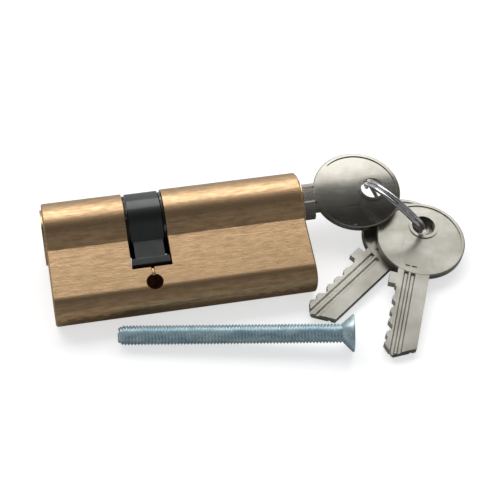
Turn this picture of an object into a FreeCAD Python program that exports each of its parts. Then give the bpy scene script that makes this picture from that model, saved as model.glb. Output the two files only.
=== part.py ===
"""Euro-profile double cylinder for a deadbolt lock, with its fixing screw and three keys.

The cylinder is drawn in its own lock frame and then laid on its side on a table:
  lock x  along the plug axis, 0 at the housing's short end, +x to the key end
  lock y  across the tail, the face with -y ends up on top
  lock z  from the tail to the barrel, 0 on the plug axis
The keys, the ring and the screw lie on the same table. Millimetres throughout.
"""
import math
import os

import FreeCAD
import Part
from FreeCAD import Placement, Rotation, Vector

# ---- driving dimensions ------------------------------------------------------------
LENGTH = 65.0              # housing, end to end
SHORT_SIDE = 20.0          # short end to the cam slot
SLOT_WIDTH = 10.0          # cam slot, along x
SLOT_FLOOR = 15.1          # plug axis to the slot's floor
BARREL_R = 8.5             # round top of the profile
TAIL_WIDTH = 10.0          # flat part of the profile
PROFILE_HEIGHT = 33.0      # barrel top to tail bottom
TAIL_CORNER_R = 4.5
EDGE_CHAMFER = 0.35        # round the two end faces

SCREW_HOLE_R = 2.1         # tapping size of the M5 fixing thread
SCREW_HOLE_DROP = 19.15    # plug axis to the fixing hole
RELIEF_R = 0.5             # drilling between the slot's floor and the fixing hole

PLUG_R = 6.5
PLUG_GAP = 0.05            # running clearance, radial
FLANGE_R = 7.0
FLANGE_THICK = 1.2
FLANGE_PROUD = 0.5         # stands out of the housing's end face
PLUG_REACH = 2.0           # each plug's inner end, past the slot's wall
KEYWAY_GAP = 0.12          # all round the blade's section
KEYWAY_END_GAP = 0.3       # past the tip of a key pushed home

CAM_R = 8.3                # ring of the cam
CAM_WIDTH = 8.2
CAM_WEB = 5.6              # thick web in the middle of the ring, along x
CAM_LEVER_R = 14.8         # tip of the lever, from the plug axis
CAM_TIP_WIDTH = 9.4        # lever tip along x
CAM_NECK_WIDTH = 7.4
CAM_TIP_START = 11.8       # plug axis to the ledge of the lever's tip
CAM_NECK_HALF = 4.3        # half thickness of the neck across y
CAM_TIP_HALF = 4.9
CAM_LEDGE_CHAMFER = 0.5

CIRCLIP_THICK = 0.56
CIRCLIP_R = 7.9
CIRCLIP_GROOVE_R = 5.8
CIRCLIP_GAP_ANGLE = 70.0   # open part of the clip, degrees
CIRCLIP_FIT = 0.03         # clip to the groove's floor, radial

CLUTCH_HUB_R = 3.4
CLUTCH_WING_R = 5.5
CLUTCH_WING_WIDTH = 2.4
CLUTCH_THICK = 1.8
CLUTCH_ENGAGE = 1.1        # depth of the driving wings in the keyed plug
CLUTCH_GAP = 0.1
CLUTCH_SPRING_R = 2.2
CLUTCH_SPRING_WIRE = 0.36
CLUTCH_SPRING_TURNS = 2
PUSH_ROD_R = 1.1
TOUCH = 0.05               # hair's breadth between pieces that touch

PIN_COUNT = 5
PIN_PITCH = 3.4
FIRST_PIN = 2.7            # key's stop to the first pin
PIN_R = 1.25
PIN_NOSE = 0.85            # height of a key pin's cone
CHAMBER_R = 1.3
DRIVER_LENGTH = 5.0
CAP_LENGTH = 2.2
PLUG_CHAMBER_TOP = -0.2    # lock z where the chambers end inside the plug
SPRING_WIRE = 0.3
SPRING_COIL_R = 0.95
SPRING_TURNS = 7
COIL_POINT_ANGLE = 24.0    # spacing of the points that a wire is drawn through, degrees

BOW_R = 11.4
BOW_THICK = 2.0
BOW_RIM = 0.9              # raised rim round the bow
BOW_CHAMFER = 0.25
BOW_RECESS = 0.28          # depth of the field inside the rim, on each side
FRONT_FIELD_END = 6.1      # bow centre to the field's straight edge, front face
BACK_FIELD_END = 9.6       # the same on the back face
KEY_HOLE_R = 3.0
KEY_HOLE_OFFSET = 4.2      # bow centre to the hole, away from the blade
KEY_HOLE_RIM = 0.8
BLADE_THICK = 1.9
BLADE_BACK = 3.7           # bow centre line to the blade's back
BLADE_FRONT = 4.3          # bow centre line to the cut edge
LUG_HEIGHT = 1.8           # stop lug, past the cut edge
LUG_LENGTH = 3.4
KEY_STOP = 15.5            # bow centre to the lug's stop face
KEY_TIP = 36.0             # bow centre to the tip
TIP_APEX = 1.9             # tip's point, from the bow centre line towards the cut edge
TIP_RUN_FRONT = 2.6
TIP_RUN_BACK = 3.2
GROOVE_START = 9.0         # milled grooves run from here to the tip
CUT_DEPTHS = (0.4, 0.9, 0.6, 1.2, 0.5)
CUT_FLAT = 0.9             # length of the flat at the root of each cut
FIRST_CUT_LAND = 0.3       # land left between the lug and the first cut

RING_WIRE_R = 0.52
RING_MEAN_R = 9.3
RING_STEP_ANGLE = 40.0     # where the wire climbs from the lower turn to the upper, degrees
RING_END_GAP_ANGLE = 8.0   # from the upper turn's end to the step, degrees

SCREW_LENGTH = 57.0
SCREW_R = 2.4
SCREW_HEAD_R = 4.6
SCREW_HEAD_RIM = 0.35
SCREW_END_CHAMFER = 0.5
CROSS_LENGTH = 5.0
CROSS_WIDTH = 1.0
CROSS_DEPTH = 2.4

# The screw lies in front of the tail: x of its end, that end's distance from the tail's
# bottom, and its heading from +x in degrees.
SCREW_TIP_X = 14.5
SCREW_STANDOFF = 4.2
SCREW_HEADING = -10.9

# The ring and the other two keys hang from key 1, so they are placed in key 1's own frame:
# x from the bow's centre to the tip, y to the cut edge, z out of the front face. A key's
# place is its bow's centre, then yaw, pitch and roll in degrees.
KEY_2_PLACE = ((-10.779, 12.821, -4.188), (36.641, -4.213, -178.395))
KEY_3_PLACE = ((-13.66, 15.867, -1.991), (66.469, -4.75, 179.863))
RING_CENTRE = (-8.485, 6.65, 1.28)
RING_NORMAL = (0.7443, 0.5354, -0.3991)

# milled grooves of the blade: distance from the blade's back, width, depth
FRONT_GROOVES = ((0.9, 0.7, 0.45), (5.2, 1.3, 0.6))
BACK_GROOVES = ((3.5, 1.2, 0.55), (5.2, 1.2, 0.55))

# ---- sizes that follow -------------------------------------------------------------
LONG_START = SHORT_SIDE + SLOT_WIDTH
TAIL_BOTTOM = PROFILE_HEIGHT - BARREL_R
HOUSING_MID = SHORT_SIDE + SLOT_WIDTH / 2
BORE_R = PLUG_R + PLUG_GAP
CAM_START = HOUSING_MID - CAM_WIDTH / 2
CAM_END = HOUSING_MID + CAM_WIDTH / 2
LEFT_PLUG_END = SHORT_SIDE + PLUG_REACH
RIGHT_PLUG_END = LONG_START - PLUG_REACH
LEFT_STOP = -FLANGE_PROUD
RIGHT_STOP = LENGTH + FLANGE_PROUD
BLADE_REACH = KEY_TIP - KEY_STOP
BOW_AXIS_DROP = TIP_APEX   # the bow's centre line stands this far over the plug axis
CUT_EDGE_Z = BOW_AXIS_DROP - BLADE_FRONT
SHEAR_Z = -math.sqrt(PLUG_R ** 2 - PIN_R ** 2)
DRIVER_TOP = -BORE_R - TOUCH
CORNER_OFFSET = TAIL_WIDTH / 2 - TAIL_CORNER_R
CORNER_DROP = TAIL_BOTTOM - TAIL_CORNER_R
# the cylinder rests on its barrel and on one rounded corner of its tail
TILT = (math.asin((BARREL_R - TAIL_CORNER_R) / math.hypot(CORNER_OFFSET, CORNER_DROP))
        - math.atan2(CORNER_OFFSET, CORNER_DROP))
LAID = Placement(Vector(0, 0, BARREL_R), Rotation(Vector(1, 0, 0), math.degrees(TILT) - 90))

X_AXIS = Vector(1, 0, 0)
Z_AXIS = Vector(0, 0, 1)


# ---- helpers -----------------------------------------------------------------------
def rod(radius, x_from, x_to):
    """Round bar along the plug axis."""
    return Part.makeCylinder(radius, x_to - x_from, Vector(x_from, 0, 0), X_AXIS)


def post(radius, x, z_from, z_to, y=0.0):
    """Round bar upright in the lock frame, in the pin chambers' direction."""
    return Part.makeCylinder(radius, z_to - z_from, Vector(x, y, z_from), Z_AXIS)


def block(x_from, x_to, y_from, y_to, z_from, z_to):
    size = (x_to - x_from, y_to - y_from, z_to - z_from)
    return Part.makeBox(*size, Vector(x_from, y_from, z_from))


def prism(points, direction):
    """Solid swept along direction from a flat outline of straight runs."""
    outline = Part.makePolygon([Vector(*p) for p in points] + [Vector(*points[0])])
    return Part.Face(outline).extrude(direction)


def wire(points, wire_r):
    """Round wire along a smooth curve through the points; it sets out at right angles to x."""
    curve = Part.BSplineCurve()
    curve.interpolate(points)
    section = Part.Wire(Part.makeCircle(wire_r, points[0], Vector(0, 1, 0)))
    return Part.Wire(curve.toShape()).makePipeShell([section], True, True)


def coil(radius, height, turns, wire_r):
    """Spring about +z: wire wound evenly on a cylinder, from 0 up to the given height."""
    count = round(turns * 360 / COIL_POINT_ANGLE)
    points = []
    for i in range(count + 1):
        turn = 2 * math.pi * turns * i / count
        points.append(Vector(radius * math.cos(turn), radius * math.sin(turn),
                             height * i / count))
    return wire(points, wire_r)


def pin_places(stop, inward):
    """X of each pin, counted from the key's stop towards the inside of the lock."""
    return [stop + inward * (FIRST_PIN + PIN_PITCH * i) for i in range(PIN_COUNT)]


def frame_of(x_dir, y_dir, origin):
    """Placement that carries the local x and y axes onto two given directions."""
    z_dir = x_dir.cross(y_dir)
    return Placement(Vector(*origin), Rotation(x_dir, y_dir, z_dir, "XYZ"))


# ---- housing -----------------------------------------------------------------------
def profile_outline():
    """The keyhole-shaped section: a circle on a narrower tail with rounded corners."""
    half = TAIL_WIDTH / 2
    joint_z = -math.sqrt(BARREL_R ** 2 - half ** 2)
    low = -TAIL_BOTTOM
    arc_drop = TAIL_CORNER_R * (1 - math.sqrt(0.5))

    def at(y, z):
        return Vector(0, y, z)

    edges = [Part.Arc(at(-half, joint_z), at(0, BARREL_R), at(half, joint_z)).toShape()]
    for side in (1, -1):
        top = at(side * half, joint_z)
        corner_top = at(side * half, low + TAIL_CORNER_R)
        corner_mid = at(side * (half - arc_drop), low + arc_drop)
        corner_end = at(side * CORNER_OFFSET, low)
        edges.append(Part.LineSegment(top, corner_top).toShape())
        edges.append(Part.Arc(corner_top, corner_mid, corner_end).toShape())
    edges.append(Part.LineSegment(at(CORNER_OFFSET, low), at(-CORNER_OFFSET, low)).toShape())
    return Part.Wire(Part.__sortEdges__(edges))


def full_profile():
    bar = Part.Face(profile_outline()).extrude(Vector(LENGTH, 0, 0))
    ends = [e for e in bar.Edges
            if e.BoundBox.XLength < 1e-6 and min(e.BoundBox.XMin, LENGTH - e.BoundBox.XMin) < 1e-6]
    return bar.makeChamfer(EDGE_CHAMFER, ends)


def housing(profile, pins):
    body = profile.cut(rod(BORE_R, -1, LENGTH + 1))
    seat = FLANGE_THICK - FLANGE_PROUD + TOUCH
    body = body.cut(rod(FLANGE_R + PLUG_GAP, -1, seat))
    body = body.cut(rod(FLANGE_R + PLUG_GAP, LENGTH - seat, LENGTH + 1))
    body = body.cut(block(SHORT_SIDE, LONG_START, -BARREL_R - 1, BARREL_R + 1,
                          -SLOT_FLOOR, BARREL_R + 1))
    for x in pins:
        body = body.cut(post(CHAMBER_R, x, -TAIL_BOTTOM - 1, 0))
    hole = Part.makeCylinder(SCREW_HOLE_R, TAIL_WIDTH + 2,
                             Vector(HOUSING_MID, -TAIL_WIDTH / 2 - 1, -SCREW_HOLE_DROP),
                             Vector(0, 1, 0))
    relief = post(RELIEF_R, HOUSING_MID, -SCREW_HOLE_DROP, -SLOT_FLOOR + 1,
                  y=-TAIL_WIDTH / 2 + RELIEF_R / 2)
    return body.cut(hole).cut(relief)


def chamber_caps(profile, pins):
    """Plugs pressed in from below; their ends follow the tail's bottom."""
    return [post(CHAMBER_R, x, -TAIL_BOTTOM - 1, -TAIL_BOTTOM + CAP_LENGTH).common(profile)
            for x in pins]


# ---- keys --------------------------------------------------------------------------
def blade_section(grow, front):
    """Blade section in the local y-z plane, grown all round for the keyway."""
    half = BLADE_THICK / 2 + grow
    low, high = -BLADE_BACK - grow, front + grow

    def side(grooves, sign):
        points = []
        for start, width, depth in grooves:
            near = -BLADE_BACK + start + grow
            far = -BLADE_BACK + start + width - grow
            floor = sign * (half - depth)
            points += [(near, sign * half), (near + depth / 2, floor),
                       (far - depth / 2, floor), (far, sign * half)]
        return points

    upper = [(low, half)] + side(FRONT_GROOVES, 1) + [(high, half)]
    lower = [(low, -half)] + side(BACK_GROOVES, -1) + [(high, -half)]
    return upper + lower[::-1]


def bow():
    """Coin-shaped head with a raised rim, a recessed field on each face and a rimmed hole."""
    half = BOW_THICK / 2
    disc = Part.makeCylinder(BOW_R, BOW_THICK, Vector(0, 0, -half))
    disc = disc.makeChamfer(BOW_CHAMFER, [e for e in disc.Edges if e.BoundBox.ZLength < 1e-6])
    for sign, field_end in ((1, FRONT_FIELD_END), (-1, BACK_FIELD_END)):
        floor = half - BOW_RECESS
        z = floor if sign > 0 else -floor - BOW_RECESS
        field = Part.makeCylinder(BOW_R - BOW_RIM, BOW_RECESS, Vector(0, 0, z))
        field = field.common(block(-BOW_R, field_end, -BOW_R, BOW_R, z, z + BOW_RECESS))
        rim = Part.makeCylinder(KEY_HOLE_R + KEY_HOLE_RIM, BOW_RECESS,
                                Vector(-KEY_HOLE_OFFSET, 0, z))
        disc = disc.cut(field.cut(rim))
    hole = Part.makeCylinder(KEY_HOLE_R, BOW_THICK + 2, Vector(-KEY_HOLE_OFFSET, 0, -half - 1))
    return disc.cut(hole)


def blade():
    half = BLADE_THICK / 2
    outline = [(0, -BLADE_BACK), (KEY_TIP - TIP_RUN_BACK, -BLADE_BACK), (KEY_TIP, TIP_APEX),
               (KEY_TIP - TIP_RUN_FRONT, BLADE_FRONT), (KEY_STOP, BLADE_FRONT),
               (KEY_STOP, BLADE_FRONT + LUG_HEIGHT), (KEY_STOP - LUG_LENGTH, BLADE_FRONT + LUG_HEIGHT),
               (KEY_STOP - LUG_LENGTH, BLADE_FRONT), (0, BLADE_FRONT)]
    flat = prism([(x, y, -half) for x, y in outline], Vector(0, 0, BLADE_THICK))
    top = BLADE_FRONT + LUG_HEIGHT + 1
    section = [(GROOVE_START, y, z) for y, z in blade_section(0, top)]
    milled = prism(section, Vector(KEY_TIP - GROOVE_START + 1, 0, 0))
    plain = block(0, GROOVE_START, -BLADE_BACK - 1, top, -half, half)
    shape = flat.common(milled.fuse(plain))
    for i, depth in enumerate(CUT_DEPTHS):
        x = KEY_STOP + FIRST_PIN + PIN_PITCH * i
        root = BLADE_FRONT - depth
        rise = BLADE_FRONT + 1 - root
        notch = [(x - CUT_FLAT / 2, root), (x + CUT_FLAT / 2, root),
                 (x + CUT_FLAT / 2 + rise, root + rise), (x - CUT_FLAT / 2 - rise, root + rise)]
        if i == 0:
            land = KEY_STOP + FIRST_CUT_LAND
            notch[3] = (land, root + rise)
            notch[0] = (land + rise / 3, root)
        shape = shape.cut(prism([(px, py, -half - 1) for px, py in notch],
                                Vector(0, 0, BLADE_THICK + 2)))
    return shape


def key():
    return bow().fuse(blade()).removeSplitter()


# ---- plugs and what turns in them --------------------------------------------------
def plug(stop, inner_end, inward, keyway_length):
    """Plug with flange, keyway, pin chambers, circlip groove and a slot for the clutch."""
    flange_end = stop + inward * FLANGE_THICK
    body = rod(PLUG_R, *sorted((stop, inner_end)))
    body = body.fuse(rod(FLANGE_R, *sorted((stop, flange_end))))
    section = [(stop - inward, -across, z) for z, across in keyway_section()]
    body = body.cut(prism(section, Vector(inward * (keyway_length + 1), 0, 0)))
    for x in pin_places(stop, inward):
        body = body.cut(post(CHAMBER_R, x, -PLUG_R - 1, PLUG_CHAMBER_TOP))
    wall = SHORT_SIDE if inward > 0 else LONG_START
    groove = sorted((wall + inward * TOUCH, wall + inward * (3 * TOUCH + CIRCLIP_THICK)))
    groove_ring = rod(PLUG_R + 1, *groove).cut(rod(CIRCLIP_GROOVE_R, groove[0] - 1, groove[1] + 1))
    body = body.cut(groove_ring)
    slot_half = CLUTCH_WING_WIDTH / 2 + CLUTCH_GAP
    slot = sorted((inner_end - inward * (CLUTCH_ENGAGE + CLUTCH_GAP), inner_end + inward))
    return body.cut(block(*slot, -PLUG_R - 1, PLUG_R + 1, -slot_half, slot_half))


def keyway_section():
    """Grown blade section as (lock z, across) pairs; the cut edge looks down to the pins."""
    return [(BOW_AXIS_DROP - y, z) for y, z in blade_section(KEYWAY_GAP, BLADE_FRONT)]


def key_pins(stop, inward, lifted_by_key):
    """Pins cut to the key: with the key in they end at the plug's surface, without it
    they have risen to the end of their chambers."""
    pins = []
    for x, depth in zip(pin_places(stop, inward), CUT_DEPTHS):
        length = CUT_EDGE_Z + depth - SHEAR_Z - TOUCH
        top = (CUT_EDGE_Z + depth if lifted_by_key else PLUG_CHAMBER_TOP) - TOUCH
        shoulder = top - PIN_NOSE
        body = post(PIN_R, x, top - length, shoulder)
        nose = Part.makeCone(PIN_R, CUT_FLAT / 2, PIN_NOSE, Vector(x, 0, shoulder), Z_AXIS)
        pins.append(body.fuse(nose))
    return pins


def driver_tops(stop, inward, lifted_by_key):
    """Lock z of each driver pin's top: at the bore, or pushed up into a plug with no key."""
    if lifted_by_key:
        return [DRIVER_TOP] * PIN_COUNT
    return [PLUG_CHAMBER_TOP - TOUCH - (CUT_EDGE_Z + depth - SHEAR_Z) for depth in CUT_DEPTHS]


def driver_pins(pins, tops):
    return [post(PIN_R, x, top - DRIVER_LENGTH, top) for x, top in zip(pins, tops)]


def pin_springs(pins, tops):
    springs = []
    for x, top in zip(pins, tops):
        low = -TAIL_BOTTOM + CAP_LENGTH + SPRING_WIRE / 2 + TOUCH
        high = top - DRIVER_LENGTH - SPRING_WIRE / 2 - TOUCH
        spring = coil(SPRING_COIL_R, high - low, SPRING_TURNS, SPRING_WIRE / 2)
        spring.translate(Vector(x, 0, low))
        springs.append(spring)
    return springs


def circlip(wall, inward):
    """Open spring ring in the plug's groove, bearing on the slot's wall."""
    faces = sorted((wall + inward * 2 * TOUCH, wall + inward * (2 * TOUCH + CIRCLIP_THICK)))
    ring = rod(CIRCLIP_R, *faces).cut(rod(CIRCLIP_GROOVE_R + CIRCLIP_FIT, faces[0] - 1, faces[1] + 1))
    spread = math.radians(CIRCLIP_GAP_ANGLE / 2)
    reach = 2 * CIRCLIP_R
    wedge = [(faces[0] - 1, 0, 0), (faces[0] - 1, reach * math.sin(spread), reach * math.cos(spread)),
             (faces[0] - 1, -reach * math.sin(spread), reach * math.cos(spread))]
    return ring.cut(prism(wedge, Vector(CIRCLIP_THICK + 2, 0, 0)))


def cam():
    """Ring that runs on both plugs, with a lever that throws the bolt."""
    low = -math.sqrt(CAM_R ** 2 - CAM_NECK_HALF ** 2)
    ring = rod(CAM_R, CAM_START, CAM_END)
    neck = block(HOUSING_MID - CAM_NECK_WIDTH / 2, HOUSING_MID + CAM_NECK_WIDTH / 2,
                 -CAM_NECK_HALF, CAM_NECK_HALF, -CAM_LEVER_R - 1, low + 1)
    tip = block(HOUSING_MID - CAM_TIP_WIDTH / 2, HOUSING_MID + CAM_TIP_WIDTH / 2,
                -CAM_TIP_HALF, CAM_TIP_HALF, -CAM_LEVER_R - 1, -CAM_TIP_START)
    ledges = [e for e in tip.Edges if abs(e.BoundBox.ZMin + CAM_TIP_START) < 1e-6
              and e.BoundBox.ZLength < 1e-6 and e.BoundBox.YLength < 1e-6]
    tip = tip.makeChamfer(CAM_LEDGE_CHAMFER, ledges)
    sweep = rod(CAM_LEVER_R, SHORT_SIDE, LONG_START)
    shape = ring.fuse(neck.fuse(tip).common(sweep))
    for start, end in ((CAM_START - 1, HOUSING_MID - CAM_WEB / 2),
                       (HOUSING_MID + CAM_WEB / 2, CAM_END + 1)):
        shape = shape.cut(rod(BORE_R, start, end))
    shape = shape.cut(rod(CLUTCH_HUB_R + CLUTCH_GAP, CAM_START - 1, CAM_END + 1))
    half = CLUTCH_WING_WIDTH / 2 + CLUTCH_GAP
    wings = rod(CLUTCH_WING_R + CLUTCH_GAP, CAM_START - 1, CAM_END + 1)
    wings = wings.common(block(CAM_START - 1, CAM_END + 1, -PLUG_R, PLUG_R, -half, half))
    return shape.cut(wings).removeSplitter()


def clutch(x_from, wing_reach):
    """Half coupling: a hub with two wings that slide in the cam's slots, and may reach
    past the hub into a plug's end."""
    half = CLUTCH_WING_WIDTH / 2
    hub_end = x_from + CLUTCH_THICK
    wing_end = hub_end + wing_reach
    wings = rod(CLUTCH_WING_R, x_from, wing_end)
    wings = wings.common(block(x_from, wing_end, -PLUG_R, PLUG_R, -half, half))
    return rod(CLUTCH_HUB_R, x_from, hub_end).fuse(wings).removeSplitter()


# ---- ring and screw ----------------------------------------------------------------
def key_ring():
    """Split ring: two flat turns of spring wire; where the first turn comes back to its own
    start, the wire climbs over it."""
    lift = RING_WIRE_R + TOUCH / 2
    step = RING_STEP_ANGLE
    last = 720 - step - RING_END_GAP_ANGLE
    count = round(last / COIL_POINT_ANGLE)
    points = []
    for i in range(count + 1):
        angle = last * i / count
        climbed = min(max((angle - 360 + step) / step, 0), 1)
        turn = math.radians(angle)
        points.append(Vector(RING_MEAN_R * math.cos(turn), RING_MEAN_R * math.sin(turn),
                             -lift * math.cos(math.pi * climbed)))
    return wire(points, RING_WIRE_R)


def fixing_screw():
    """Countersunk M5 screw on its side, held up by its head's rim and its thread's end."""
    cone = SCREW_HEAD_R - SCREW_R
    shank = Part.makeCylinder(SCREW_R, SCREW_LENGTH - SCREW_HEAD_RIM)
    shank = shank.makeChamfer(SCREW_END_CHAMFER, [e for e in shank.Edges if e.BoundBox.ZMax < 1e-6])
    head = Part.makeCone(SCREW_R, SCREW_HEAD_R, cone, Vector(0, 0, SCREW_LENGTH - SCREW_HEAD_RIM - cone))
    rim = Part.makeCylinder(SCREW_HEAD_R, SCREW_HEAD_RIM, Vector(0, 0, SCREW_LENGTH - SCREW_HEAD_RIM))
    screw = shank.fuse([head, rim])
    floor = SCREW_LENGTH - CROSS_DEPTH
    for length, width in ((CROSS_LENGTH, CROSS_WIDTH), (CROSS_WIDTH, CROSS_LENGTH)):
        screw = screw.cut(block(-length / 2, length / 2, -width / 2, width / 2, floor, SCREW_LENGTH + 1))
    lean = math.asin((SCREW_HEAD_R - SCREW_R) / (SCREW_LENGTH - SCREW_HEAD_RIM))
    heading = math.radians(SCREW_HEADING)
    along = Vector(math.cos(heading) * math.cos(lean), math.sin(heading) * math.cos(lean),
                   math.sin(lean))
    side = Vector(-math.sin(heading), math.cos(heading), 0)
    tip = Vector(SCREW_TIP_X, -TAIL_BOTTOM - SCREW_STANDOFF, SCREW_R / math.cos(lean))
    screw.Placement = Placement(tip, Rotation(side, along.cross(side), along, "ZXY"))
    return screw.removeSplitter()


# ---- the set -----------------------------------------------------------------------
def build():
    left_pins = pin_places(LEFT_STOP, 1)
    right_pins = pin_places(RIGHT_STOP, -1)
    profile = full_profile()
    left_tops = driver_tops(LEFT_STOP, 1, False)
    right_tops = driver_tops(RIGHT_STOP, -1, True)
    right_key_end = RIGHT_STOP - BLADE_REACH
    left_clutch = LEFT_PLUG_END + CLUTCH_GAP
    right_clutch = RIGHT_PLUG_END - CLUTCH_GAP - CLUTCH_THICK
    wing_end = RIGHT_PLUG_END - CLUTCH_GAP + CLUTCH_ENGAGE

    right_plug = plug(RIGHT_STOP, RIGHT_PLUG_END, -1, BLADE_REACH + KEYWAY_END_GAP)
    right_plug = right_plug.cut(rod(PUSH_ROD_R + CLUTCH_GAP, RIGHT_PLUG_END - 1, right_key_end))
    spring_start = left_clutch + CLUTCH_THICK + CLUTCH_SPRING_WIRE
    spring_length = right_clutch - CLUTCH_SPRING_WIRE - spring_start
    clutch_spring = coil(CLUTCH_SPRING_R, spring_length, CLUTCH_SPRING_TURNS, CLUTCH_SPRING_WIRE / 2)
    clutch_spring.Placement = Placement(Vector(spring_start, 0, 0), Rotation(Vector(0, 1, 0), 90))

    key_1 = key()
    key_1.Placement = frame_of(Vector(-1, 0, 0), Vector(0, 0, -1), (RIGHT_STOP + KEY_STOP, 0, BOW_AXIS_DROP))

    in_lock = {
        "housing": [housing(profile, left_pins + right_pins)],
        "left_plug": [plug(LEFT_STOP, LEFT_PLUG_END, 1, LEFT_PLUG_END - LEFT_STOP + 1)],
        "right_plug": [right_plug],
        "left_key_pins": key_pins(LEFT_STOP, 1, False),
        "right_key_pins": key_pins(RIGHT_STOP, -1, True),
        "left_driver_pins": driver_pins(left_pins, left_tops),
        "right_driver_pins": driver_pins(right_pins, right_tops),
        "left_pin_springs": pin_springs(left_pins, left_tops),
        "right_pin_springs": pin_springs(right_pins, right_tops),
        "left_chamber_caps": chamber_caps(profile, left_pins),
        "right_chamber_caps": chamber_caps(profile, right_pins),
        "left_circlip": [circlip(SHORT_SIDE, 1)],
        "right_circlip": [circlip(LONG_START, -1)],
        "cam": [cam()],
        "left_clutch": [clutch(left_clutch, 0)],
        "right_clutch": [clutch(right_clutch, CLUTCH_ENGAGE)],
        "clutch_spring": [clutch_spring],
        "push_rod": [rod(PUSH_ROD_R, wing_end + TOUCH, right_key_end - TOUCH)],
        "key_1": [key_1],
    }
    parts = {}
    for name, solids in in_lock.items():
        for solid in solids:
            solid.Placement = LAID.multiply(solid.Placement)
        parts[name] = solids
    ring = key_ring()
    turned = Rotation(Z_AXIS, Vector(*RING_NORMAL))
    ring.Placement = key_1.Placement.multiply(Placement(Vector(*RING_CENTRE), turned))
    parts["key_ring"] = [ring]
    for name, (centre, angles) in (("key_2", KEY_2_PLACE), ("key_3", KEY_3_PLACE)):
        shape = key()
        shape.Placement = key_1.Placement.multiply(Placement(Vector(*centre), Rotation(*angles)))
        parts[name] = [shape]
    parts["fixing_screw"] = [fixing_screw()]
    return parts


def main():
    os.makedirs("parts", exist_ok=True)
    parts = build()
    everything = Part.makeCompound([solid for solids in parts.values() for solid in solids])
    box = everything.optimalBoundingBox(False, False)
    shift = Vector(-(box.XMin + box.XMax) / 2, -(box.YMin + box.YMax) / 2, -box.ZMin)
    print("frame shift", tuple(round(v, 4) for v in shift))
    for name, solids in parts.items():
        for solid in solids:
            solid.Placement = Placement(shift, Rotation()).multiply(solid.Placement)
            if not solid.isValid() or len(solid.Solids) != 1:
                print("check", name, solid.isValid(), len(solid.Solids))
        shape = solids[0] if len(solids) == 1 else Part.makeCompound(solids)
        shape.exportStep(f"parts/{name}.step")


main()
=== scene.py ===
"""A euro-profile lock cylinder lying on a table, with its fixing screw and three keys."""
import math

import bmesh
import bpy
import numpy as np
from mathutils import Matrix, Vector


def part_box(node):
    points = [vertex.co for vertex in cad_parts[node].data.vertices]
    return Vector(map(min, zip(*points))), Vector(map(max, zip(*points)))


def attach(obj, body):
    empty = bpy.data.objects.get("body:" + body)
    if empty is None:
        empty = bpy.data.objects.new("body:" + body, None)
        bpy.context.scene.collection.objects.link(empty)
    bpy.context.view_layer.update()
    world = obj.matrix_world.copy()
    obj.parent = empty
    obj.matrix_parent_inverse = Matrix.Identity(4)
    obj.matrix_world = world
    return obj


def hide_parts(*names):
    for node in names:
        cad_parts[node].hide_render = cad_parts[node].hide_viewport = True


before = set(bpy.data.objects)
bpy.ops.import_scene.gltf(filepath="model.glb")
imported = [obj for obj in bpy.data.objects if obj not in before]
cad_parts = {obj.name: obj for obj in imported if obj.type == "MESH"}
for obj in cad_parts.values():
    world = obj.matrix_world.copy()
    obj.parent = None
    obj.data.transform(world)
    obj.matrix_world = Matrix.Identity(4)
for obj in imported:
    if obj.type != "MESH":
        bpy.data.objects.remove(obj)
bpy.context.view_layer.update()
MM = 0.001

# ---- housing -----------------------------------------------------------------------
# The body is sawn from an extruded brass bar, so its sides carry fine lines along the bar.
# Its ends and the cam's slot are milled, and a file or a tumbler has broken every edge.
HOUSING_EDGE = 0.16 * MM
BRASS = (0.690, 0.462, 0.260, 1)
BRASS_DULL = (0.460, 0.300, 0.165, 1)
SHARP_EDGE = math.radians(24)
FLAT_WITHIN = math.radians(0.3)
SAME_POINT = 1e-6


def eased_copy(node, edge_width, body):
    """A closed copy of a CAD node with broken edges: corners closer than a thousandth of a
    millimetre are merged, flat runs of triangles become one face, and each edge sharper
    than SHARP_EDGE becomes a two-step round of the given width."""
    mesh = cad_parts[node].data.copy()
    shell = bmesh.new()
    shell.from_mesh(mesh)
    bmesh.ops.remove_doubles(shell, verts=shell.verts, dist=SAME_POINT)
    bmesh.ops.dissolve_limit(shell, angle_limit=FLAT_WITHIN, verts=shell.verts,
                             edges=shell.edges)
    shell.to_mesh(mesh)
    shell.free()
    mesh.shade_smooth()
    piece = bpy.data.objects.new(node + "_finished", mesh)
    bpy.context.collection.objects.link(piece)
    rounding = piece.modifiers.new("broken_edges", "BEVEL")
    rounding.width = edge_width
    rounding.segments = 2
    rounding.limit_method = "ANGLE"
    rounding.angle_limit = SHARP_EDGE
    rounding.use_clamp_overlap = True
    flats = piece.modifiers.new("flats_stay_flat", "WEIGHTED_NORMAL")
    flats.mode = "FACE_AREA"
    flats.weight = 100
    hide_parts(node)
    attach(piece, body)
    return piece


def finish_in(piece, material):
    """Give a piece this one material in place of what it had."""
    piece.data.materials.clear()
    piece.data.materials.append(material)


def metal(name, roughness, metallic=1.0):
    """An empty metal material: its node tree, its shader and its object coordinates."""
    material = bpy.data.materials.new(name)
    material.use_nodes = True
    tree = material.node_tree
    shader = tree.nodes["Principled BSDF"]
    shader.inputs["Metallic"].default_value = metallic
    shader.inputs["Roughness"].default_value = roughness
    place = tree.nodes.new("ShaderNodeTexCoord")
    return material, tree, shader, place


def grain(tree, place, stretch, detail=4.0, turn=(0, 0, 0)):
    """Noise with the given number of cells per metre along each axis."""
    mapping = tree.nodes.new("ShaderNodeMapping")
    mapping.inputs["Scale"].default_value = stretch
    mapping.inputs["Rotation"].default_value = turn
    noise = tree.nodes.new("ShaderNodeTexNoise")
    noise.inputs["Scale"].default_value = 1.0
    noise.inputs["Detail"].default_value = detail
    tree.links.new(place.outputs["Object"], mapping.inputs["Vector"])
    tree.links.new(mapping.outputs["Vector"], noise.inputs["Vector"])
    return noise.outputs["Fac"]


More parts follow.
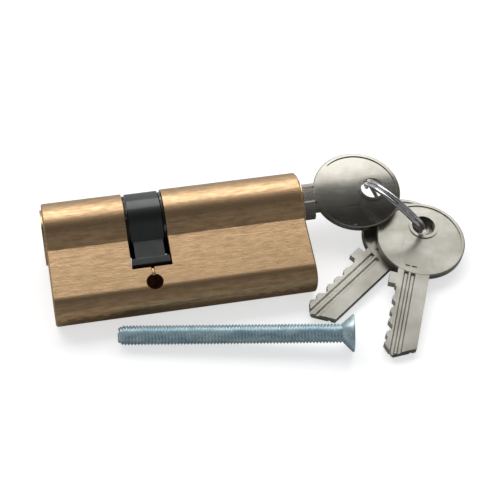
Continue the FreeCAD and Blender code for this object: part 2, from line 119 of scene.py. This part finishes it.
def ramp(tree, value, low, high, dark, light):
    """Colour that goes from dark to light as the value goes from low to high."""
    blend = tree.nodes.new("ShaderNodeValToRGB")
    blend.color_ramp.elements[0].position = low
    blend.color_ramp.elements[0].color = dark
    blend.color_ramp.elements[1].position = high
    blend.color_ramp.elements[1].color = light
    tree.links.new(value, blend.inputs["Fac"])
    return blend.outputs["Color"]


def fade(tree, value, start, end, at_start, at_end):
    """Number that goes from at_start to at_end as the value goes from start to end."""
    span = tree.nodes.new("ShaderNodeMapRange")
    span.inputs["From Min"].default_value = start
    span.inputs["From Max"].default_value = end
    span.inputs["To Min"].default_value = at_start
    span.inputs["To Max"].default_value = at_end
    tree.links.new(value, span.inputs["Value"])
    return span.outputs["Result"]


def spread(tree, value, low, high):
    """The middle of a noise stretched over low to high."""
    return fade(tree, value, 0.3, 0.7, low, high)


def relief(tree, shader, height, strength, depth, after=None):
    """Bump of the given depth in metres, added to the one before it."""
    bump = tree.nodes.new("ShaderNodeBump")
    bump.inputs["Strength"].default_value = strength
    bump.inputs["Distance"].default_value = depth
    tree.links.new(height, bump.inputs["Height"])
    if after is not None:
        tree.links.new(after.outputs["Normal"], bump.inputs["Normal"])
    tree.links.new(bump.outputs["Normal"], shader.inputs["Normal"])
    return bump


def drawn_brass():
    """Brass with draw lines along x, cloudy tarnish and small pits. Tone and roughness follow
    lines times 0.6 plus clouds times 0.4."""
    material, tree, shader, place = metal("drawn_brass", 0.34)
    streaks = grain(tree, place, (160, 3800, 3800), 7)
    clouds = grain(tree, place, (420, 1000, 1000), 4)
    pits = grain(tree, place, (1100, 1700, 1700), 3)
    mix = tree.nodes.new("ShaderNodeMath")
    mix.operation = "MULTIPLY_ADD"
    mix.inputs[1].default_value = 0.6
    tree.links.new(streaks, mix.inputs[0])
    half = tree.nodes.new("ShaderNodeMath")
    half.operation = "MULTIPLY"
    half.inputs[1].default_value = 0.4
    tree.links.new(clouds, half.inputs[0])
    tree.links.new(half.outputs[0], mix.inputs[2])
    tree.links.new(ramp(tree, mix.outputs[0], 0.40, 0.60, BRASS_DULL, BRASS),
                   shader.inputs["Base Color"])
    tree.links.new(spread(tree, mix.outputs[0], 0.44, 0.27), shader.inputs["Roughness"])
    lines = relief(tree, shader, streaks, 0.2, 0.04 * MM)
    hollow = ramp(tree, pits, 0.32, 0.45, (0, 0, 0, 1), (1, 1, 1, 1))
    relief(tree, shader, hollow, 0.3, 0.035 * MM, lines)
    return material


housing_brass = drawn_brass()
housing = eased_copy("housing", HOUSING_EDGE, "cylinder")
finish_in(housing, housing_brass)


# ---- chamber caps ------------------------------------------------------------------
# Short brass plugs are pressed into the chambers from below and milled flush with the
# tail, so they carry the same lines but show as slightly brighter discs.
CAP_EDGE = 0.08 * MM
for side in ("left", "right"):
    caps = eased_copy(side + "_chamber_caps", CAP_EDGE, "cylinder")
    finish_in(caps, housing_brass)


# ---- plugs -------------------------------------------------------------------------
# The plugs are turned from brass rod; the flange at each end of the lock shows fine
# rings round the axis from facing.
PLUG_EDGE = 0.08 * MM
PLUG_LIGHT = (0.690, 0.500, 0.290, 1)
PLUG_DARK = (0.560, 0.390, 0.215, 1)


def turned_brass():
    """Brass with rings round the plug's axis, from the distance to that axis."""
    material, tree, shader, place = metal("turned_brass", 0.28)
    lowest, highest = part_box("left_plug")
    axis = (lowest + highest) / 2
    mapping = tree.nodes.new("ShaderNodeMapping")
    mapping.inputs["Location"].default_value = (0, -axis.y, -axis.z)
    mapping.inputs["Scale"].default_value = (0.1, 1, 1)
    rings = tree.nodes.new("ShaderNodeTexWave")
    rings.wave_type = "RINGS"
    rings.rings_direction = "X"
    rings.inputs["Scale"].default_value = 1100
    rings.inputs["Distortion"].default_value = 1.5
    tree.links.new(place.outputs["Object"], mapping.inputs["Vector"])
    tree.links.new(mapping.outputs["Vector"], rings.inputs["Vector"])
    cloud = grain(tree, place, (300, 300, 300), 3)
    tree.links.new(ramp(tree, cloud, 0.35, 0.65, PLUG_DARK, PLUG_LIGHT),
                   shader.inputs["Base Color"])
    tree.links.new(spread(tree, cloud, 0.34, 0.24), shader.inputs["Roughness"])
    relief(tree, shader, rings.outputs["Fac"], 0.15, 0.02 * MM)
    return material


plug_brass = turned_brass()
for node, body in (("left_plug", "cylinder"), ("right_plug", "key_plug")):
    part = eased_copy(node, PLUG_EDGE, body)
    finish_in(part, plug_brass)


# ---- pins, springs and coupling inside ----------------------------------------------
# Turned brass pins, steel springs and the steel coupling sit inside the lock, where only
# their ends show through the keyway; they keep their CAD shapes.
STEEL_DARK = (0.42, 0.42, 0.43, 1)
STEEL_LIGHT = (0.62, 0.62, 0.63, 1)


def bright_steel():
    """Plain spring steel with faint wear clouds."""
    material, tree, shader, place = metal("spring_steel", 0.25)
    cloud = grain(tree, place, (500, 500, 500), 3)
    tree.links.new(ramp(tree, cloud, 0.35, 0.65, STEEL_DARK, STEEL_LIGHT),
                   shader.inputs["Base Color"])
    tree.links.new(spread(tree, cloud, 0.32, 0.2), shader.inputs["Roughness"])
    return material


spring_steel = bright_steel()
for node in ("left_key_pins", "right_key_pins", "left_driver_pins", "right_driver_pins"):
    finish_in(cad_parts[node], plug_brass)
for node in ("left_pin_springs", "right_pin_springs", "left_clutch", "right_clutch",
             "clutch_spring", "push_rod"):
    finish_in(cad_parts[node], spring_steel)


# ---- circlips ----------------------------------------------------------------------
# Stamped spring-steel clips in the plugs' grooves; they bear on the walls of the slot and
# are phosphated dark, with bright metal only where the stamping has rubbed.
CLIP_EDGE = 0.05 * MM
PHOSPHATE = (0.03, 0.032, 0.034, 1)
RUBBED_STEEL = (0.40, 0.40, 0.40, 1)


def phosphated_steel():
    """Dark grey phosphate with rubbed patches."""
    material, tree, shader, place = metal("phosphated_steel", 0.35, 0.8)
    rubbed = grain(tree, place, (420, 420, 420), 3)
    tree.links.new(ramp(tree, rubbed, 0.52, 0.68, PHOSPHATE, RUBBED_STEEL),
                   shader.inputs["Base Color"])
    tree.links.new(spread(tree, rubbed, 0.45, 0.28), shader.inputs["Roughness"])
    return material


clip_steel = phosphated_steel()
for node, body in (("left_circlip", "cylinder"), ("right_circlip", "key_plug")):
    part = eased_copy(node, CLIP_EDGE, body)
    finish_in(part, clip_steel)


# ---- cam ---------------------------------------------------------------------------
# The cam is sintered steel, tumbled, blackened and oiled: black with a soft sheen. It
# runs on both plugs' inner ends, and its lever throws the bolt.
CAM_EDGE = 0.25 * MM
OXIDE_DARK = (0.008, 0.010, 0.010, 1)
OXIDE_LIGHT = (0.020, 0.023, 0.024, 1)


def blackened_steel():
    """Near-black oxide with the fine grain of pressed powder, under a film of oil."""
    material, tree, shader, place = metal("blackened_steel", 0.3, 0.35)
    shader.inputs["Coat Weight"].default_value = 0.4
    shader.inputs["Coat Roughness"].default_value = 0.16
    shader.inputs["Coat IOR"].default_value = 1.9
    powder = grain(tree, place, (3500, 3500, 3500), 3)
    cloud = grain(tree, place, (250, 250, 250), 3)
    tree.links.new(ramp(tree, cloud, 0.35, 0.65, OXIDE_DARK, OXIDE_LIGHT),
                   shader.inputs["Base Color"])
    tree.links.new(spread(tree, cloud, 0.42, 0.30), shader.inputs["Roughness"])
    relief(tree, shader, powder, 0.12, 0.03 * MM)
    return material


cam = eased_copy("cam", CAM_EDGE, "cam_drive")
finish_in(cam, blackened_steel())


# ---- keys --------------------------------------------------------------------------
# Keys are stamped from nickel-silver strip: the coin-shaped bow has raised rims, the
# blade's grooves are milled, and tumbling has rounded every edge.
KEY_EDGE = 0.14 * MM
# Key 1 is the same nickel silver as keys 2 and 3, but its colours are darker: painted shade for
# how key 1 looks under this light. Only its lower roughness is its real polish.
NICKEL_POLISHED_PAINTED_SHADE = ((0.30, 0.285, 0.245, 1), (0.39, 0.375, 0.33, 1))
NICKEL_TUMBLED = ((0.34, 0.325, 0.28, 1), (0.48, 0.465, 0.415, 1))
CROWN_RADIUS = 75 * MM
CROWN_SHIFT = 2.4 * MM
ACROSS_KEY_1 = (0, 0.985, 0.175)    # across key 1's blade, in the plane of its faces


def nickel_silver(name, dark, light, roughest, smoothest):
    """Nickel silver with faint clouds and hairline scratches."""
    material, tree, shader, place = metal(name, smoothest)
    cloud = grain(tree, place, (140, 140, 140), 3)
    scratches = grain(tree, place, (300, 5200, 2600), 4, (0, 0, 0.6))
    tree.links.new(ramp(tree, cloud, 0.35, 0.65, dark, light),
                   shader.inputs["Base Color"])
    tree.links.new(spread(tree, scratches, smoothest, roughest), shader.inputs["Roughness"])
    hairlines = relief(tree, shader, scratches, 0.08, 0.02 * MM)
    return material, tree, shader, place, hairlines


def crowned(material, tree, shader, place, hairlines):
    """The same on faces that act as if gently domed across key 1's blade: the relief is
    minus the squared distance from the line CROWN_SHIFT behind the blade's middle over
    twice CROWN_RADIUS."""
    lowest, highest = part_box("key_1")
    middle = (lowest + highest) / 2
    across = tree.nodes.new("ShaderNodeVectorMath")
    across.operation = "DOT_PRODUCT"
    across.inputs[1].default_value = ACROSS_KEY_1
    centred = tree.nodes.new("ShaderNodeMath")
    centred.operation = "ADD"
    centred.inputs[1].default_value = -(middle.dot(Vector(ACROSS_KEY_1)) + CROWN_SHIFT)
    away = tree.nodes.new("ShaderNodeMath")
    away.operation = "ABSOLUTE"
    squared = tree.nodes.new("ShaderNodeMath")
    squared.operation = "POWER"
    squared.inputs[1].default_value = 2
    fall = tree.nodes.new("ShaderNodeMath")
    fall.operation = "MULTIPLY"
    fall.inputs[1].default_value = -0.5 / CROWN_RADIUS
    tree.links.new(place.outputs["Object"], across.inputs[0])
    tree.links.new(across.outputs["Value"], centred.inputs[0])
    tree.links.new(centred.outputs[0], away.inputs[0])
    tree.links.new(away.outputs[0], squared.inputs[0])
    tree.links.new(squared.outputs[0], fall.inputs[0])
    relief(tree, shader, fall.outputs[0], 1.0, 1.0, hairlines)
    return material


# Key 1 gets the darker colours, which are painted shade, and the smoother polish.
polished_painted_shade = crowned(*nickel_silver("nickel_silver_polished_painted_shade", *NICKEL_POLISHED_PAINTED_SHADE, 0.20, 0.13))
tumbled = nickel_silver("nickel_silver_tumbled", *NICKEL_TUMBLED, 0.42, 0.30)[0]
for node, body, finish in (("key_1", "key_plug", polished_painted_shade), ("key_2", "second_key", tumbled),
                           ("key_3", "third_key", tumbled)):
    part = eased_copy(node, KEY_EDGE, body)
    finish_in(part, finish)


# ---- split ring --------------------------------------------------------------------
# Two turns of round spring wire, nickel-plated bright, with its two ends cut square.
RING_EDGE = 0.1 * MM
RING_DARK = (0.50, 0.50, 0.50, 1)
RING_LIGHT = (0.66, 0.66, 0.66, 1)


def plated_wire():
    """Bright nickel plate with a faint drawing grain."""
    material, tree, shader, place = metal("plated_wire", 0.14)
    cloud = grain(tree, place, (900, 900, 900), 3)
    tree.links.new(ramp(tree, cloud, 0.3, 0.7, RING_DARK, RING_LIGHT),
                   shader.inputs["Base Color"])
    tree.links.new(spread(tree, cloud, 0.2, 0.1), shader.inputs["Roughness"])
    return material


ring = eased_copy("key_ring", RING_EDGE, "ring")
finish_in(ring, plated_wire())


# ---- fixing screw ------------------------------------------------------------------
# An M5 countersunk screw, rolled thread to the head, blue-passivated zinc over steel. It
# lies in front of the tail on its head's rim and its end.
THREAD_CREST = 2.4 * MM
THREAD_ROOT = 2.03 * MM
THREAD_PITCH = 0.8 * MM
THREAD_SLOPE = 2.6          # of the flanks, in thread depths per pitch
THREAD_VALLEY = 0.12
THREAD_RUN_IN = 1.1 * MM    # the first turn grows from nothing over this length
END_FACE_RADIUS = 1.6 * MM
END_TAPER = 0.3 * MM
SCREW_LENGTH = 57.0 * MM
HEAD_RADIUS = 4.6 * MM
HEAD_RIM = 0.35 * MM
CROSS_ARM = 2.5 * MM
CROSS_HALF_WIDTH = 0.52 * MM
CROSS_DEPTH = 2.3 * MM
CROSS_TAPER = 0.35          # share of the depth that is lost by the arms' ends
CROSS_WALL = 0.22 * MM
RIM_ROUND = 0.06 * MM
SCREW_TIP_ALONG = 14.5 * MM     # from the housing's short end
SCREW_TIP_FORWARD = 37.2 * MM   # from the housing's barrel
SCREW_HEADING = math.radians(-10.9)
ZINC_BLUE = (0.42, 0.60, 0.68, 1)
ZINC_PALE = (0.68, 0.82, 0.86, 1)


def screw_surface(rows_per_turn=10, columns=96, face_rows=44):
    """Closed surface of revolution, swept by a profile of (distance along the axis, radius)
    from the middle of the end face to the middle of the head's face. Between end and head
    the radius follows the thread: root plus a flat-topped wave of distance over pitch minus
    turn. On the head's face the distance drops into the cross where a point is nearer than
    half a width to one of its two arms."""
    cone_start = SCREW_LENGTH - HEAD_RIM - (HEAD_RADIUS - THREAD_ROOT)
    rows = round(cone_start / THREAD_PITCH * rows_per_turn)
    thread_x = np.linspace(0, cone_start, rows)
    cone_x = np.array([SCREW_LENGTH - HEAD_RIM, SCREW_LENGTH - RIM_ROUND, SCREW_LENGTH])
    cone_r = HEAD_RADIUS - RIM_ROUND * np.array([1 / 3, 0, 1])
    face_r = np.linspace(HEAD_RADIUS - 2 * RIM_ROUND, 0, face_rows)
    x = np.concatenate([[0, 0], thread_x, cone_x, np.full(face_r.size, SCREW_LENGTH)])
    r = np.concatenate([[0, END_FACE_RADIUS], np.full(rows, THREAD_ROOT), cone_r, face_r])
    turn = np.linspace(0, 2 * np.pi, columns, endpoint=False)
    x, turn = np.meshgrid(x, turn, indexing="ij")
    r = np.repeat(r[:, None], columns, axis=1)
    threaded = slice(2, 2 + rows)
    phase = (x[threaded] / THREAD_PITCH - turn[threaded] / (2 * np.pi)) % 1.0
    wave = np.clip((0.5 - np.abs(phase - 0.5)) * THREAD_SLOPE - THREAD_VALLEY, 0, 1)
    run_in = np.clip(x[threaded] / THREAD_RUN_IN, 0, 1)
    r[threaded] = (THREAD_ROOT - END_TAPER * (1 - run_in)
                   + (THREAD_CREST - THREAD_ROOT) * wave * run_in)
    face = slice(2 + rows + 3, None)
    across, up = r[face] * np.cos(turn[face]), r[face] * np.sin(turn[face])
    taper = 1 - CROSS_TAPER * np.clip(r[face] / CROSS_ARM, 0, 1)
    arms = np.maximum(
        np.minimum(CROSS_HALF_WIDTH - np.abs(up), CROSS_ARM - np.abs(across)),
        np.minimum(CROSS_HALF_WIDTH - np.abs(across), CROSS_ARM - np.abs(up)))
    x[face] -= CROSS_DEPTH * taper * np.clip(arms / CROSS_WALL, 0, 1)
    points = np.stack([x, r * np.cos(turn), r * np.sin(turn)], axis=-1)
    return points, columns


def closed_grid(name, points, columns):
    """Mesh over a grid that closes round its second index; its first and last rows are
    single points."""
    rows = points.shape[0]
    inner = points[1:-1].reshape(-1, 3)
    vertices = np.concatenate([points[:1, 0], inner, points[-1:, 0]])
    step = np.arange(columns)
    after = (step + 1) % columns
    starts = 1 + np.arange(rows - 3)[:, None] * columns
    quads = np.stack([starts + step, starts + columns + step, starts + columns + after,
                      starts + after], axis=-1).reshape(-1, 4)
    last = len(vertices) - 1
    fan_in = np.stack([np.zeros(columns, int), 1 + step, 1 + after], axis=-1)
    base = 1 + (rows - 3) * columns
    fan_out = np.stack([base + step, np.full(columns, last), base + after], axis=-1)
    mesh = bpy.data.meshes.new(name)
    mesh.from_pydata(vertices.tolist(), [],
                     fan_in.tolist() + quads.tolist() + fan_out.tolist())
    mesh.shade_smooth()
    return mesh


def blue_zinc():
    """Bright zinc with a blue passivation that clouds from blue to pale green."""
    material, tree, shader, place = metal("blue_zinc", 0.32, 0.5)
    cloud = grain(tree, place, (260, 700, 700), 3)
    tree.links.new(ramp(tree, cloud, 0.35, 0.65, ZINC_BLUE, ZINC_PALE),
                   shader.inputs["Base Color"])
    fine = grain(tree, place, (4000, 4000, 4000), 2)
    tree.links.new(spread(tree, fine, 0.36, 0.22), shader.inputs["Roughness"])
    relief(tree, shader, fine, 0.1, 0.02 * MM)
    return material


lock_low, lock_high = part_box("housing")
screw_points, screw_columns = screw_surface()
lean = math.asin((HEAD_RADIUS - THREAD_CREST) / (SCREW_LENGTH - HEAD_RIM))
along = np.array([math.cos(SCREW_HEADING) * math.cos(lean),
                  math.sin(SCREW_HEADING) * math.cos(lean), math.sin(lean)])
side = np.array([-math.sin(SCREW_HEADING), math.cos(SCREW_HEADING), 0])
screw_end = np.array([lock_low.x + SCREW_TIP_ALONG, lock_high.y - SCREW_TIP_FORWARD,
                      THREAD_CREST / math.cos(lean)])
screw_points = screw_end + screw_points @ np.stack([along, side, np.cross(along, side)])
screw = bpy.data.objects.new("screw_with_thread",
                             closed_grid("screw_with_thread", screw_points, screw_columns))
bpy.context.collection.objects.link(screw)
screw.data.materials.append(blue_zinc())
screw.data.set_sharp_from_angle(angle=math.radians(50))
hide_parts("fixing_screw")
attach(screw, "screw")


# ---- floor, light and camera -------------------------------------------------------
# A plain pale table top, which metal sees as grey. One wide softbox stands behind it, from
# a third to three quarters of the way up; the room is bright behind, dim in front and
# nearly dark overhead, so that polished faces go from light to black.
FLOOR_HALF = 3
FLOOR_IN_METAL = (0.65, 0.65, 0.65, 1)
CAMERA_LENS = 93.41
CAMERA_TURN = (40.0445, -1.6065, -11.1413)
floor_mesh = bpy.data.meshes.new("floor")
floor_mesh.from_pydata([(-FLOOR_HALF, -FLOOR_HALF, 0), (FLOOR_HALF, -FLOOR_HALF, 0),
                         (FLOOR_HALF, FLOOR_HALF, 0), (-FLOOR_HALF, FLOOR_HALF, 0)],
                        [], [(0, 1, 2, 3)])
floor = bpy.data.objects.new("floor", floor_mesh)
bpy.context.collection.objects.link(floor)
floor_white = bpy.data.materials.new("floor_white")
floor_white.use_nodes = True
floor_tree = floor_white.node_tree
floor_shader = floor_tree.nodes["Principled BSDF"]
floor_shader.inputs["Base Color"].default_value = (0.8, 0.8, 0.8, 1)
floor_shader.inputs["Roughness"].default_value = 0.9
floor_shader.inputs["Specular IOR Level"].default_value = 0.1
floor_shader.inputs["Emission Color"].default_value = (1, 1, 1, 1)
floor_shader.inputs["Emission Strength"].default_value = 0.62
in_metal = floor_tree.nodes.new("ShaderNodeBsdfDiffuse")
in_metal.inputs["Color"].default_value = FLOOR_IN_METAL
seen_by = floor_tree.nodes.new("ShaderNodeLightPath")
either = floor_tree.nodes.new("ShaderNodeMixShader")
floor_tree.links.new(seen_by.outputs["Is Camera Ray"], either.inputs["Fac"])
floor_tree.links.new(in_metal.outputs["BSDF"], either.inputs[1])
floor_tree.links.new(floor_shader.outputs["BSDF"], either.inputs[2])
floor_tree.links.new(either.outputs["Shader"],
                     floor_tree.nodes["Material Output"].inputs["Surface"])
floor_mesh.materials.append(floor_white)

world = bpy.data.worlds.new("room")
bpy.context.scene.world = world
world.use_nodes = True
room = world.node_tree
room_light = room.nodes["Background"]
room_light.inputs["Color"].default_value = (0.97, 0.98, 1.0, 1)
direction = room.nodes.new("ShaderNodeTexCoord")
parts_of = room.nodes.new("ShaderNodeSeparateXYZ")
both = room.nodes.new("ShaderNodeMath")
room.links.new(direction.outputs["Generated"], parts_of.inputs["Vector"])
towards_back = fade(room, parts_of.outputs["Y"], 0.1, 1.0, 0.0, 0.55)
below_ceiling = fade(room, parts_of.outputs["Z"], 0.78, 0.97, 0.24, 0.055)
room.links.new(towards_back, both.inputs[0])
room.links.new(below_ceiling, both.inputs[1])
room.links.new(both.outputs["Value"], room_light.inputs["Strength"])


def softbox(name, distance, azimuth, elevation, width, height, radiance):
    """A flat light that faces the lock from a direction: azimuth from the back towards +x
    and elevation, in degrees; its power is radiance times pi times area."""
    light = bpy.data.lights.new(name, "AREA")
    light.shape = "RECTANGLE"
    light.size, light.size_y = width, height
    light.energy = radiance * math.pi * width * height
    holder = bpy.data.objects.new(name, light)
    bpy.context.collection.objects.link(holder)
    turn, rise = math.radians(azimuth), math.radians(elevation)
    place = Vector((math.sin(turn) * math.cos(rise), math.cos(turn) * math.cos(rise),
                    math.sin(rise))) * distance
    holder.location = place
    holder.rotation_euler = (-place).to_track_quat("-Z", "Y").to_euler()


softbox("behind", distance=0.7, azimuth=-4, elevation=49, width=1.2, height=0.45, radiance=2.05)

camera_data = bpy.data.cameras.new("camera")
camera_data.sensor_width = 36
camera_data.lens = CAMERA_LENS
camera = bpy.data.objects.new("camera", camera_data)
bpy.context.collection.objects.link(camera)
camera.location = (lock_low.x + 2.776 * MM, lock_high.y - 225.19 * MM, 257.28 * MM)
camera.rotation_euler = [math.radians(turn) for turn in CAMERA_TURN]
bpy.context.scene.camera = camera
bpy.context.scene.view_settings.view_transform = "Standard"
